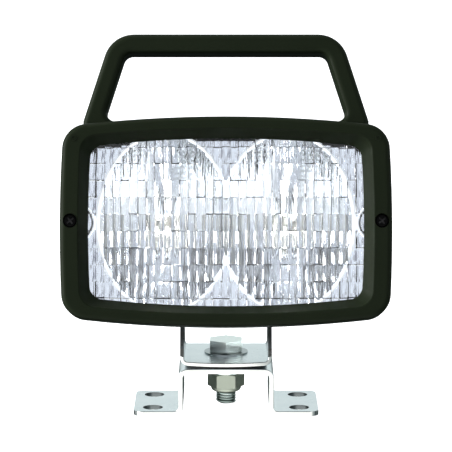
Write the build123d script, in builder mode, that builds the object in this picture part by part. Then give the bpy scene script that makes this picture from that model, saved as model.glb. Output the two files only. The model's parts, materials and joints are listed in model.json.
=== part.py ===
from build123d import *
import os
from math import cos, pi, radians, sin, sqrt, tan

os.makedirs("parts", exist_ok=True)

# Twin-bulb rectangular work lamp with a carrying handle, on a swivelling and
# tilting steel bracket. Millimetres, +Z up, the lamp shines towards -Y.
# The origin is the centre of the four foot holes, on the mounting plane,
# and it is also on the axis of the swivel bolt.

# ---- base bracket ----------------------------------------------------------
BASE_LENGTH = 97.0
BASE_WIDTH = 48.0
BASE_HEIGHT = 25.0
BASE_SHEET = 2.5
BASE_FOOT_REACH = 23.5
BASE_BEND_RADIUS = 3.5
FOOT_CORNER_RADIUS = 5.0
FOOT_HOLE_DIAMETER = 10.5
FOOT_HOLE_END_MARGIN = 10.0
FOOT_HOLE_SIDE_MARGIN = 9.5
SHEET_EDGE_RADIUS = 0.4

# ---- swivel joint ----------------------------------------------------------
SWIVEL_THREAD = 10.0
SWIVEL_BOLT_END_HEIGHT = 1.8
SWIVEL_HEAD_FLATS = 17.0
SWIVEL_HEAD_HEIGHT = 6.4
SWIVEL_NUT_HEIGHT = 10.0
SWIVEL_NUT_COLLAR = 2.6
SWIVEL_END_CHAMFER = 1.0
THREAD_ROOT_SHARE = 0.86
HEXAGON_TOP_SHARE = 0.97
NUT_COLLAR_SHARE = 0.94
NUT_GROOVE_SHARE = 0.55
NUT_RING_SHARE = 0.75
NUT_ROUNDING_SHARE = 0.7
NUT_RING_GAP = 0.4
SWIVEL_RUNNING_CLEARANCE = 0.05
BOLT_HOLE_CLEARANCE = 0.25
TOP_WASHER_DIAMETER = 23.0
TOP_WASHER_THICKNESS = 0.8
FLAT_WASHER_DIAMETER = 21.0
FLAT_WASHER_THICKNESS = 2.0
SPRING_WASHER_DIAMETER = 17.6
SPRING_WASHER_THICKNESS = 2.0
SPRING_WASHER_GAP = 1.4
SPRING_WASHER_TURN = 25.0
SWIVEL_HEAD_TURN = 30.0
SWIVEL_NUT_TURN = 0.0
FRICTION_DISC_MARGIN = 2.5
FRICTION_DISC_THICKNESS = 2.0

# ---- stirrup ---------------------------------------------------------------
STIRRUP_SHEET = 2.0
STIRRUP_INSET = 1.0
STIRRUP_BACK_EDGE = 22.5
STIRRUP_FRONT_CORNER = 22.5
STIRRUP_FRONT_BULGE = 5.0
STIRRUP_BEND_RADIUS = 2.8
STIRRUP_EAR_RADIUS = 10.0
STIRRUP_PIVOT_RISE = 25.0

# ---- tilt pivot ------------------------------------------------------------
PIVOT_THREAD = 8.0
PIVOT_BOLT_EXTRA = 15.0
PIVOT_END_CHAMFER = 0.8
PIVOT_HEAD_FLATS = 13.0
PIVOT_HEAD_HEIGHT = 5.3
PIVOT_HEAD_TURN = 12.0
PIVOT_NUT_HEIGHT = 8.0
PIVOT_NUT_COLLAR = 2.2
PIVOT_NUT_TURN = 20.0
PIVOT_WASHER_DIAMETER = 16.0
PIVOT_WASHER_THICKNESS = 1.6
FIBRE_WASHER_THICKNESS = 1.0
FIBRE_WASHER_DIAMETER = 18.0
SLEEVE_OUTER_DIAMETER = 11.0
LUG_RADIUS = 10.5
LUG_ROOT_OVERLAP = 10.0

# ---- lamp head -------------------------------------------------------------
HEAD_TILT = 15.0
PIVOT_BEHIND_FACE = 50.2
PIVOT_ABOVE_RIM = 13.6

FRAME_WIDTH = 170.0
FRAME_HEIGHT = 108.0
FRAME_CORNER_RADIUS = 13.0
FRAME_TOP_BULGE = 5.2
FRAME_SIDE_BULGE = 1.6
FRAME_EDGE_RADIUS = 3.0
FRAME_SIDE_BAND = 9.3
FRAME_TOP_BAND = 6.3
MOUTH_EDGE_RADIUS = 0.6
MOUTH_CORNER_RADIUS = 9.0
WINDOW_SIDE_SLOPE = 4.9
WINDOW_TOP_SLOPE = 4.5
WINDOW_CORNER_RADIUS = 7.0
WINDOW_DEPTH = 8.0
WINDOW_BULGE_SHARE = 0.8
LENS_SIDE_OVERLAP = 4.7
LENS_TOP_OVERLAP = 4.8
LENS_CORNER_RADIUS = 9.0
LENS_THICKNESS = 4.0
LENS_EDGE_CLEARANCE = 0.4
GASKET_THICKNESS = 2.0
GASKET_WIDTH = 2.4
MARK_DIAMETER = 3.0
MARK_HEIGHT = 0.3
MARK_LINE = 0.6
MARK_SIDE_MARGIN = 7.0
MARK_TOP_MARGIN = 11.4

SCREW_SIDE_MARGIN = 5.4
SCREW_THREAD = 3.5
SCREW_HEAD_DIAMETER = 6.8
SCREW_HEAD_HEIGHT = 2.4
SCREW_LENGTH = 26.0
SCREW_HEAD_SINK = 0.6
SCREW_FIT = 0.05
SCREW_RECESS_DIAMETER = 7.4
SCREW_BOSS_RADIUS = 4.2
SCREW_CROWN_RADIUS = 0.9
SCREW_CROSS_WIDTH = 0.9
SCREW_CROSS_LENGTH = 4.2
SCREW_CROSS_DEPTH = 1.45
SCREW_BOSS_END = 2.0
SCREW_CROSS_ANGLE = 38.0

HOUSING_FLANGE = 5.0
HOUSING_FLANGE_INSET = 1.0
HOUSING_WALL = 2.5
HOUSING_SHOULDER_LENGTH = 16.5
HOUSING_SHOULDER_SIDE = 9.0
HOUSING_SHOULDER_TOP = 11.0
HOUSING_TAIL_LENGTH = 24.0
HOUSING_WAIST_SIDE = 19.0
HOUSING_WAIST_TOP = 29.0
HOUSING_BACK_SIDE = 28.0
HOUSING_BACK_TOP = 32.0
HOUSING_BEHIND_BULBS = 11.3
HOUSING_BACK_RADIUS = 5.0
HOUSING_SHOULDER_BULGE = 0.8
HOUSING_WAIST_BULGE = 0.6
HOUSING_BACK_BULGE = 0.5

HANDLE_FRONT = 18.0
HANDLE_DEPTH = 18.0
HANDLE_BAND = 10.0
HANDLE_RISE = 45.8
HANDLE_SIDE_MARGIN = 10.7
HANDLE_LEAN = 17.7
HANDLE_OUTER_RADIUS = 16.0
HANDLE_INNER_RADIUS = 5.0
HANDLE_ROOT_RADIUS = 4.5
HANDLE_ROOT_SINK = 13.5
HANDLE_EDGE_RADIUS = 3.0

# ---- reflector and bulbs ---------------------------------------------------
REFLECTOR_SHEET = 1.5
BOWL_SIDE_MARGIN = 9.7
BOWL_MIDDLE_OVERLAP = 2.6
BOWL_TOP_MARGIN = 1.5
BOWL_CUT_MARGIN = 3.0
BOWL_LENGTH = 38.0
BOWL_STEPS = (1.0, 0.86, 0.7, 0.5, 0.26)
SCREW_PAD_RADIUS = 12.1
SCREW_PAD_HEIGHT = 0.8
BULB_SEAT_MARGIN = 1.0
BULB_SEAT_PAD = 3.0
BULB_NECK_RADIUS = 8.0
BULB_FLANGE_RADIUS = 10.0
BULB_FLANGE_THICKNESS = 1.2
BULB_CUP_RADIUS = 7.8
BULB_CUP_LENGTH = 7.0
BULB_REAR_LENGTH = 8.0
BULB_REAR_RADIUS = 6.0
CAPSULE_RADIUS = 5.5
CAPSULE_LENGTH = 24.0
CLIP_WIRE = 1.2
CLIP_BEND_RADIUS = 3.6
CLIP_HALF_LENGTH = 15.0
CLIP_HALF_WIDTH = 7.4
TERMINAL_WIDTH = 6.3
TERMINAL_SHEET = 0.8
TERMINAL_LENGTH = 5.0
LEAD_DIAMETER = 2.0
LEAD_SAG_SHARE = 0.12
LEAD_BEND_SHARE = 0.4
CONNECTOR_THICKNESS = 5.0
CONNECTOR_HEIGHT = 8.4
CONNECTOR_DEPTH = 7.0
CONNECTOR_CORNER_RADIUS = 1.0

# ---- rear wall fittings ----------------------------------------------------
SWITCH_X = -12.0
SWITCH_Z = 4.0
SWITCH_BUSH_RADIUS = 5.8
SWITCH_BUSH_LENGTH = 9.0
SWITCH_BODY_WIDTH = 18.0
SWITCH_BODY_HEIGHT = 13.0
SWITCH_BODY_CORNER_RADIUS = 1.0
SWITCH_BODY_OVER_BULBS = 4.2
SWITCH_SOCKET_MOUTH = 1.5
SWITCH_NUT_FLATS = 14.0
SWITCH_NUT_HEIGHT = 3.0
SWITCH_NUT_TURN = 15.0
SWITCH_BALL_RADIUS = 3.0
SWITCH_LEVER_LENGTH = 17.0
SWITCH_LEVER_TIP_RADIUS = 2.6
SWITCH_LEVER_ROOT_RADIUS = 1.5
SWITCH_THROW = 13.0
SWITCH_SOCKET_CLEARANCE = 0.3
GROMMET_X = 15.0
GROMMET_Z = -5.0
GROMMET_BORE = 7.0
GROMMET_NECK_DIAMETER = 12.0
GROMMET_FLANGE_DIAMETER = 16.0
GROMMET_LIP = 2.0
GROMMET_SPOUT = 9.0
GROMMET_SPOUT_END_DIAMETER = 10.0
GROMMET_EDGE = 0.8
CUT_THROUGH = 1.0

# ---- worked out from the sizes above ---------------------------------------
BASE_OUTER_SPAN = BASE_LENGTH - 2 * BASE_FOOT_REACH
FOOT_HOLE_SPACING_X = BASE_LENGTH - 2 * FOOT_HOLE_END_MARGIN
FOOT_HOLE_SPACING_Y = BASE_WIDTH - 2 * FOOT_HOLE_SIDE_MARGIN
FRICTION_DISC_DIAMETER = BASE_OUTER_SPAN - 2 * FRICTION_DISC_MARGIN
STIRRUP_OUTER_SPAN = BASE_OUTER_SPAN - 2 * STIRRUP_INSET
STIRRUP_SEAT = BASE_HEIGHT + FRICTION_DISC_THICKNESS
STIRRUP_TOP = STIRRUP_SEAT + STIRRUP_SHEET
HEAD_SEAT = STIRRUP_TOP + TOP_WASHER_THICKNESS
PIVOT_HEIGHT = STIRRUP_TOP + STIRRUP_PIVOT_RISE
PIVOT_BOLT_LENGTH = STIRRUP_OUTER_SPAN + PIVOT_BOLT_EXTRA
BASE_UNDERSIDE = BASE_HEIGHT - BASE_SHEET
FLAT_WASHER_TOP = BASE_UNDERSIDE
SPRING_WASHER_TOP = FLAT_WASHER_TOP - FLAT_WASHER_THICKNESS
NUT_TOP = SPRING_WASHER_TOP - SPRING_WASHER_THICKNESS
NUT_BOTTOM = NUT_TOP - SWIVEL_NUT_HEIGHT
STIRRUP_INNER = STIRRUP_OUTER_SPAN / 2 - STIRRUP_SHEET
LUG_HALF_LENGTH = STIRRUP_INNER - FIBRE_WASHER_THICKNESS

PIVOT_BELOW_AXIS = FRAME_HEIGHT / 2 - PIVOT_ABOVE_RIM
MOUTH_WIDTH = FRAME_WIDTH - 2 * FRAME_SIDE_BAND
MOUTH_HEIGHT = FRAME_HEIGHT - 2 * FRAME_TOP_BAND
WINDOW_WIDTH = MOUTH_WIDTH - 2 * WINDOW_SIDE_SLOPE
WINDOW_HEIGHT = MOUTH_HEIGHT - 2 * WINDOW_TOP_SLOPE
LENS_WIDTH = WINDOW_WIDTH + 2 * LENS_SIDE_OVERLAP
LENS_HEIGHT = WINDOW_HEIGHT + 2 * LENS_TOP_OVERLAP
FRAME_SCREW_X = FRAME_WIDTH / 2 - SCREW_SIDE_MARGIN
MARK_X = FRAME_WIDTH / 2 - MARK_SIDE_MARGIN
MARK_Z = FRAME_HEIGHT / 2 - MARK_TOP_MARGIN
LENS_BACK = WINDOW_DEPTH + LENS_THICKNESS
REFLECTOR_FRONT = LENS_BACK + GASKET_THICKNESS
FRAME_DEPTH = REFLECTOR_FRONT + REFLECTOR_SHEET
HOUSING_FRONT = FRAME_DEPTH
BOWL_HALF_WIDTH = (LENS_WIDTH / 2 - BOWL_SIDE_MARGIN + BOWL_MIDDLE_OVERLAP) / 2
BOWL_CENTRE_X = BOWL_HALF_WIDTH - BOWL_MIDDLE_OVERLAP
BOWL_HALF_HEIGHT = LENS_HEIGHT / 2 - BOWL_TOP_MARGIN
BOWL_CUT_HEIGHT = LENS_HEIGHT / 2 - BOWL_CUT_MARGIN
BOWL_END = REFLECTOR_FRONT + BOWL_LENGTH
BULB_SEAT = BOWL_END + REFLECTOR_SHEET
BULB_BACK = BULB_SEAT + BULB_FLANGE_THICKNESS + BULB_REAR_LENGTH
HOUSING_DEPTH = BULB_BACK + HOUSING_BEHIND_BULBS
HOUSING_SHOULDER_DEPTH = HOUSING_FRONT + HOUSING_SHOULDER_LENGTH
HOUSING_SHOULDER_WIDTH = FRAME_WIDTH - 2 * HOUSING_SHOULDER_SIDE
HOUSING_SHOULDER_HEIGHT = FRAME_HEIGHT - 2 * HOUSING_SHOULDER_TOP
HOUSING_WAIST_DEPTH = HOUSING_DEPTH - HOUSING_TAIL_LENGTH
HOUSING_WAIST_WIDTH = FRAME_WIDTH - 2 * HOUSING_WAIST_SIDE
HOUSING_WAIST_HEIGHT = FRAME_HEIGHT - 2 * HOUSING_WAIST_TOP
HOUSING_BACK_WIDTH = FRAME_WIDTH - 2 * HOUSING_BACK_SIDE
HOUSING_BACK_HEIGHT = FRAME_HEIGHT - 2 * HOUSING_BACK_TOP
HANDLE_ROOT_HEIGHT = FRAME_HEIGHT / 2
HANDLE_ROOT_HALF_WIDTH = FRAME_WIDTH / 2 - HANDLE_SIDE_MARGIN
HANDLE_TOP = HANDLE_ROOT_HEIGHT + HANDLE_RISE
SWITCH_PANEL = HOUSING_DEPTH - HOUSING_WALL
SWITCH_FRONT = BULB_BACK - SWITCH_BODY_OVER_BULBS
SWITCH_BUSH_END = HOUSING_DEPTH + SWITCH_BUSH_LENGTH
SWITCH_PIVOT_DEPTH = SWITCH_BUSH_END - SWITCH_BALL_RADIUS - SWITCH_SOCKET_MOUTH

TILT = radians(HEAD_TILT)
HEAD_UP = Vector(0, sin(TILT), cos(TILT))
HEAD_BACK = Vector(0, cos(TILT), -sin(TILT))
PIVOT = Vector(0, 0, PIVOT_HEIGHT)
FACE_CENTRE = PIVOT - HEAD_BACK * PIVOT_BEHIND_FACE + HEAD_UP * PIVOT_BELOW_AXIS


def head_point(x, depth, height):
    """A point of the tilted head: right, behind the face, above its centre."""
    return FACE_CENTRE + Vector(x, 0, 0) + HEAD_BACK * depth + HEAD_UP * height


def facing(depth, x=0.0, height=0.0):
    """Plane across the head: sketch x is right, y is up, its normal points forward."""
    return Plane(origin=head_point(x, depth, height), x_dir=(1, 0, 0), z_dir=-HEAD_BACK)


def sideways(x):
    """Plane along the head: sketch x is depth, y is height, its normal points right."""
    return Plane(origin=head_point(x, 0, 0), x_dir=HEAD_BACK, z_dir=(1, 0, 0))


def level(height):
    """Plane across the head's height: sketch x is right, y is depth."""
    return Plane(origin=head_point(0, 0, height), x_dir=(1, 0, 0), z_dir=HEAD_UP)


def head_axis(x, height):
    """Axis along the head's depth."""
    return Axis(head_point(x, 0, height), HEAD_BACK)


def barrel(width, height, corner, bulge_share=1.0):
    """Rounded rectangle whose four sides bow outwards, centred on its plane."""
    top_bulge = FRAME_TOP_BULGE * bulge_share
    side_bulge = FRAME_SIDE_BULGE * bulge_share
    corner_x = width / 2 - side_bulge
    corner_y = height / 2 - top_bulge
    with BuildSketch() as face:
        with BuildLine():
            ThreePointArc((-corner_x, corner_y), (0, height / 2), (corner_x, corner_y))
            ThreePointArc((corner_x, corner_y), (width / 2, 0), (corner_x, -corner_y))
            ThreePointArc((corner_x, -corner_y), (0, -height / 2), (-corner_x, -corner_y))
            ThreePointArc((-corner_x, -corner_y), (-width / 2, 0), (-corner_x, corner_y))
        make_face()
        fillet(face.vertices(), corner)
    return face.sketch


def handle_half_width(height):
    """Outer half width of the handle's leaning legs at a height on the head."""
    return HANDLE_ROOT_HALF_WIDTH - (height - HANDLE_ROOT_HEIGHT) * tan(radians(HANDLE_LEAN))


def chamfered_hexagon(flats, height, bearing_plane, turn=0.0):
    """Hexagon prism with its outer corners turned down to the flats' circle."""
    across_corners = flats / cos(pi / 6)
    with BuildPart() as prism:
        with BuildSketch(bearing_plane):
            RegularPolygon(across_corners / 2, 6, rotation=turn)
        extrude(amount=height)
        with BuildSketch(bearing_plane):
            Circle(flats / 2 * HEXAGON_TOP_SHARE)
        drop = (across_corners - flats * HEXAGON_TOP_SHARE) / 2
        extrude(amount=height + drop * tan(radians(30)), taper=-60, mode=Mode.INTERSECT)
    return prism.part


# ---- base bracket: a hat of folded sheet -----------------------------------
half_span = BASE_OUTER_SPAN / 2
with BuildPart() as base_bracket:
    with BuildSketch(Plane.XZ.offset(-BASE_WIDTH / 2)):
        with BuildLine():
            FilletPolyline(
                (-BASE_LENGTH, BASE_SHEET / 2),
                (-half_span + BASE_SHEET / 2, BASE_SHEET / 2),
                (-half_span + BASE_SHEET / 2, BASE_HEIGHT - BASE_SHEET / 2),
                (half_span - BASE_SHEET / 2, BASE_HEIGHT - BASE_SHEET / 2),
                (half_span - BASE_SHEET / 2, BASE_SHEET / 2),
                (BASE_LENGTH, BASE_SHEET / 2),
                radius=BASE_BEND_RADIUS,
            )
            offset(amount=BASE_SHEET / 2, side=Side.BOTH)
        make_face()
    extrude(amount=BASE_WIDTH)
    sheet_sides = base_bracket.faces().sort_by(Axis.Y)
    fillet(sheet_sides[0].edges() + sheet_sides[-1].edges(), SHEET_EDGE_RADIUS)
    with BuildSketch():
        RectangleRounded(BASE_LENGTH, BASE_WIDTH, FOOT_CORNER_RADIUS)
    extrude(amount=BASE_HEIGHT, mode=Mode.INTERSECT)
    with BuildSketch():
        with GridLocations(FOOT_HOLE_SPACING_X, FOOT_HOLE_SPACING_Y, 2, 2):
            Circle(FOOT_HOLE_DIAMETER / 2)
        Circle(SWIVEL_THREAD / 2 + BOLT_HOLE_CLEARANCE)
    extrude(amount=BASE_HEIGHT, mode=Mode.SUBTRACT)
base_bracket.part.label = "base_bracket"
export_step(base_bracket.part, "parts/base_bracket.step")

# ---- friction disc between the base and the stirrup ------------------------
with BuildPart() as friction_disc:
    with BuildSketch(Plane.XY.offset(BASE_HEIGHT)):
        Circle(FRICTION_DISC_DIAMETER / 2)
        Circle(SWIVEL_THREAD / 2 + BOLT_HOLE_CLEARANCE, mode=Mode.SUBTRACT)
    extrude(amount=FRICTION_DISC_THICKNESS)
friction_disc.part.label = "friction_disc"
export_step(friction_disc.part, "parts/friction_disc.step")

# ---- stirrup: a bow-fronted plate with two upright ears --------------------
stirrup_half = STIRRUP_OUTER_SPAN / 2
ear_blank_top = PIVOT_HEIGHT + 2 * STIRRUP_EAR_RADIUS
with BuildPart() as stirrup:
    with BuildSketch(Plane.XZ.offset(-STIRRUP_BACK_EDGE)):
        with BuildLine():
            FilletPolyline(
                (-stirrup_half + STIRRUP_SHEET / 2, ear_blank_top),
                (-stirrup_half + STIRRUP_SHEET / 2, STIRRUP_SEAT + STIRRUP_SHEET / 2),
                (stirrup_half - STIRRUP_SHEET / 2, STIRRUP_SEAT + STIRRUP_SHEET / 2),
                (stirrup_half - STIRRUP_SHEET / 2, ear_blank_top),
                radius=STIRRUP_BEND_RADIUS,
            )
            offset(amount=STIRRUP_SHEET / 2, side=Side.BOTH)
        make_face()
    extrude(amount=STIRRUP_BACK_EDGE + STIRRUP_FRONT_CORNER + STIRRUP_FRONT_BULGE)
    with BuildSketch(Plane.XY.offset(STIRRUP_SEAT)):
        with BuildLine():
            ThreePointArc(
                (-stirrup_half, -STIRRUP_FRONT_CORNER),
                (0, -STIRRUP_FRONT_CORNER - STIRRUP_FRONT_BULGE),
                (stirrup_half, -STIRRUP_FRONT_CORNER),
            )
            Polyline(
                (stirrup_half, -STIRRUP_FRONT_CORNER),
                (stirrup_half, STIRRUP_BACK_EDGE),
                (-stirrup_half, STIRRUP_BACK_EDGE),
                (-stirrup_half, -STIRRUP_FRONT_CORNER),
            )
        make_face()
    extrude(amount=PIVOT_HEIGHT + STIRRUP_EAR_RADIUS - STIRRUP_SEAT, mode=Mode.INTERSECT)
    with BuildSketch(Plane.YZ.offset(-STIRRUP_OUTER_SPAN)):
        with BuildLine():
            ear_foot = STIRRUP_TOP + STIRRUP_BEND_RADIUS
            plate_front = STIRRUP_FRONT_CORNER + STIRRUP_FRONT_BULGE
            Polyline(
                (-STIRRUP_EAR_RADIUS, PIVOT_HEIGHT),
                (-STIRRUP_FRONT_CORNER, ear_foot),
                (-plate_front, STIRRUP_TOP),
                (-plate_front, STIRRUP_SEAT),
                (STIRRUP_BACK_EDGE, STIRRUP_SEAT),
                (STIRRUP_BACK_EDGE, ear_foot),
                (STIRRUP_EAR_RADIUS, PIVOT_HEIGHT),
            )
            ThreePointArc(
                (STIRRUP_EAR_RADIUS, PIVOT_HEIGHT),
                (0, PIVOT_HEIGHT + STIRRUP_EAR_RADIUS),
                (-STIRRUP_EAR_RADIUS, PIVOT_HEIGHT),
            )
        make_face()
    extrude(amount=2 * STIRRUP_OUTER_SPAN, mode=Mode.INTERSECT)
    bow_edges = stirrup.edges().filter_by(GeomType.CIRCLE).sort_by(Axis.Y)[0:2]
    fillet(bow_edges, SHEET_EDGE_RADIUS)
    with BuildSketch(Plane.XY.offset(STIRRUP_SEAT)):
        Circle(SWIVEL_THREAD / 2 + SWIVEL_RUNNING_CLEARANCE)
    extrude(amount=STIRRUP_SHEET, mode=Mode.SUBTRACT)
    with BuildSketch(Plane.YZ.offset(-STIRRUP_OUTER_SPAN)):
        with Locations((0, PIVOT_HEIGHT)):
            Circle(PIVOT_THREAD / 2 + BOLT_HOLE_CLEARANCE)
    extrude(amount=2 * STIRRUP_OUTER_SPAN, mode=Mode.SUBTRACT)
stirrup.part.label = "stirrup"
export_step(stirrup.part, "parts/stirrup.step")

# ---- swivel bolt and what it clamps ----------------------------------------
with BuildPart() as swivel_bolt:
    swivel_head_plane = Plane.XY.offset(HEAD_SEAT)
    add(chamfered_hexagon(SWIVEL_HEAD_FLATS, SWIVEL_HEAD_HEIGHT, swivel_head_plane, SWIVEL_HEAD_TURN))
    with BuildSketch(Plane.XY.offset(HEAD_SEAT)):
        Circle(SWIVEL_THREAD / 2)
    extrude(amount=-(HEAD_SEAT - NUT_BOTTOM))
    with BuildSketch(Plane.XY.offset(NUT_BOTTOM)):
        Circle(SWIVEL_THREAD / 2 * THREAD_ROOT_SHARE)
    extrude(amount=-(NUT_BOTTOM - SWIVEL_BOLT_END_HEIGHT))
    chamfer(swivel_bolt.edges().sort_by(Axis.Z)[0], SWIVEL_END_CHAMFER)
swivel_bolt.part.label = "swivel_bolt"
export_step(swivel_bolt.part, "parts/swivel_bolt.step")


def washer(top_plane, outer, bore, thickness):
    """Flat ring hanging below its top plane."""
    with BuildPart() as ring:
        with BuildSketch(top_plane):
            Circle(outer / 2)
            Circle(bore / 2, mode=Mode.SUBTRACT)
        extrude(amount=-thickness)
    return ring.part


swivel_bore = SWIVEL_THREAD + 2 * BOLT_HOLE_CLEARANCE
with BuildPart() as swivel_top_washer:
    add(washer(Plane.XY.offset(HEAD_SEAT), TOP_WASHER_DIAMETER, swivel_bore, TOP_WASHER_THICKNESS))
swivel_top_washer.part.label = "swivel_top_washer"
export_step(swivel_top_washer.part, "parts/swivel_top_washer.step")

with BuildPart() as swivel_flat_washer:
    flat_washer_plane = Plane.XY.offset(FLAT_WASHER_TOP)
    add(washer(flat_washer_plane, FLAT_WASHER_DIAMETER, swivel_bore, FLAT_WASHER_THICKNESS))
swivel_flat_washer.part.label = "swivel_flat_washer"
export_step(swivel_flat_washer.part, "parts/swivel_flat_washer.step")

with BuildPart() as swivel_spring_washer:
    spring_washer_plane = Plane.XY.offset(SPRING_WASHER_TOP)
    add(washer(spring_washer_plane, SPRING_WASHER_DIAMETER, swivel_bore, SPRING_WASHER_THICKNESS))
    with BuildSketch(spring_washer_plane):
        with Locations((SPRING_WASHER_DIAMETER / 2, 0)):
            Rectangle(SPRING_WASHER_DIAMETER, SPRING_WASHER_GAP, rotation=SPRING_WASHER_TURN)
    extrude(amount=-SPRING_WASHER_THICKNESS, mode=Mode.SUBTRACT)
swivel_spring_washer.part.label = "swivel_spring_washer"
export_step(swivel_spring_washer.part, "parts/swivel_spring_washer.step")


def lock_nut(seat_plane, flats, height, collar, thread, turn):
    """Hexagon nut with a domed collar; a ring sits in the collar's groove."""
    collar_radius = flats / 2 * NUT_COLLAR_SHARE
    groove_radius = thread / 2 + (collar_radius - thread / 2) * NUT_GROOVE_SHARE
    groove_depth = collar * NUT_RING_SHARE
    nut_axis = Axis(seat_plane.origin, seat_plane.z_dir)
    with BuildPart() as nut:
        add(chamfered_hexagon(flats, height - collar, seat_plane, turn))
        with BuildSketch(seat_plane):
            Circle(collar_radius)
        extrude(amount=height)
        fillet(nut.faces().sort_by(nut_axis)[-1].edges(), collar * NUT_ROUNDING_SHARE)
        with BuildSketch(seat_plane):
            Circle(thread / 2 + SCREW_FIT)
        extrude(amount=height, mode=Mode.SUBTRACT)
        with BuildSketch(seat_plane.offset(height - groove_depth)):
            Circle(groove_radius)
        extrude(amount=groove_depth, mode=Mode.SUBTRACT)
    with BuildPart() as ring:
        with BuildSketch(seat_plane.offset(height - groove_depth)):
            Circle(groove_radius)
            Circle(thread / 2 + SCREW_FIT, mode=Mode.SUBTRACT)
        extrude(amount=groove_depth - NUT_RING_GAP)
    return nut.part, ring.part


swivel_nut_plane = Plane(origin=(0, 0, NUT_TOP), x_dir=(1, 0, 0), z_dir=(0, 0, -1))
swivel_nut_shape, swivel_ring_shape = lock_nut(
    swivel_nut_plane,
    SWIVEL_HEAD_FLATS,
    SWIVEL_NUT_HEIGHT,
    SWIVEL_NUT_COLLAR,
    SWIVEL_THREAD,
    SWIVEL_NUT_TURN,
)
with BuildPart() as swivel_nut:
    add(swivel_nut_shape)
swivel_nut.part.label = "swivel_nut"
export_step(swivel_nut.part, "parts/swivel_nut.step")

with BuildPart() as swivel_nut_ring:
    add(swivel_ring_shape)
swivel_nut_ring.part.label = "swivel_nut_ring"
export_step(swivel_nut_ring.part, "parts/swivel_nut_ring.step")

# ---- tilt pivot: bolt, washers, sleeve and nut -----------------------------
washer_outer_face = stirrup_half + PIVOT_WASHER_THICKNESS
bolt_head_plane = Plane(origin=(washer_outer_face, 0, PIVOT_HEIGHT), x_dir=(0, 1, 0), z_dir=(1, 0, 0))
pivot_nut_plane = Plane(origin=(-washer_outer_face, 0, PIVOT_HEIGHT), x_dir=(0, 1, 0), z_dir=(-1, 0, 0))
pivot_grip = 2 * washer_outer_face + PIVOT_NUT_HEIGHT
with BuildPart() as pivot_bolt:
    add(chamfered_hexagon(PIVOT_HEAD_FLATS, PIVOT_HEAD_HEIGHT, bolt_head_plane, PIVOT_HEAD_TURN))
    with BuildSketch(bolt_head_plane):
        Circle(PIVOT_THREAD / 2)
    extrude(amount=-pivot_grip)
    with BuildSketch(bolt_head_plane.offset(-pivot_grip)):
        Circle(PIVOT_THREAD / 2 * THREAD_ROOT_SHARE)
    extrude(amount=-(PIVOT_BOLT_LENGTH - pivot_grip))
    chamfer(pivot_bolt.edges().sort_by(Axis.X)[0], PIVOT_END_CHAMFER)
pivot_bolt.part.label = "pivot_bolt"
export_step(pivot_bolt.part, "parts/pivot_bolt.step")

pivot_bore = PIVOT_THREAD + 2 * BOLT_HOLE_CLEARANCE
with BuildPart() as pivot_washers:
    for outer_plane in (bolt_head_plane, pivot_nut_plane):
        add(washer(outer_plane, PIVOT_WASHER_DIAMETER, pivot_bore, PIVOT_WASHER_THICKNESS))
pivot_washers.part.label = "pivot_washers"
export_step(pivot_washers.part, "parts/pivot_washers.step")

with BuildPart() as pivot_fibre_washers:
    for side in (-1, 1):
        ear_centre = (side * STIRRUP_INNER, 0, PIVOT_HEIGHT)
        ear_face = Plane(origin=ear_centre, x_dir=(0, 1, 0), z_dir=(side, 0, 0))
        add(washer(ear_face, FIBRE_WASHER_DIAMETER, SLEEVE_OUTER_DIAMETER, FIBRE_WASHER_THICKNESS))
pivot_fibre_washers.part.label = "pivot_fibre_washers"
export_step(pivot_fibre_washers.part, "parts/pivot_fibre_washers.step")

with BuildPart() as pivot_sleeve:
    with BuildSketch(Plane.YZ):
        with Locations((0, PIVOT_HEIGHT)):
            Circle(SLEEVE_OUTER_DIAMETER / 2)
            Circle(PIVOT_THREAD / 2 + SWIVEL_RUNNING_CLEARANCE, mode=Mode.SUBTRACT)
    extrude(amount=STIRRUP_INNER, both=True)
pivot_sleeve.part.label = "pivot_sleeve"
export_step(pivot_sleeve.part, "parts/pivot_sleeve.step")

pivot_nut_shape, pivot_ring_shape = lock_nut(
    pivot_nut_plane,
    PIVOT_HEAD_FLATS,
    PIVOT_NUT_HEIGHT,
    PIVOT_NUT_COLLAR,
    PIVOT_THREAD,
    PIVOT_NUT_TURN,
)
with BuildPart() as pivot_nut:
    add(pivot_nut_shape)
pivot_nut.part.label = "pivot_nut"
export_step(pivot_nut.part, "parts/pivot_nut.step")

with BuildPart() as pivot_nut_ring:
    add(pivot_ring_shape)
pivot_nut_ring.part.label = "pivot_nut_ring"
export_step(pivot_nut_ring.part, "parts/pivot_nut_ring.step")

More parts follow.
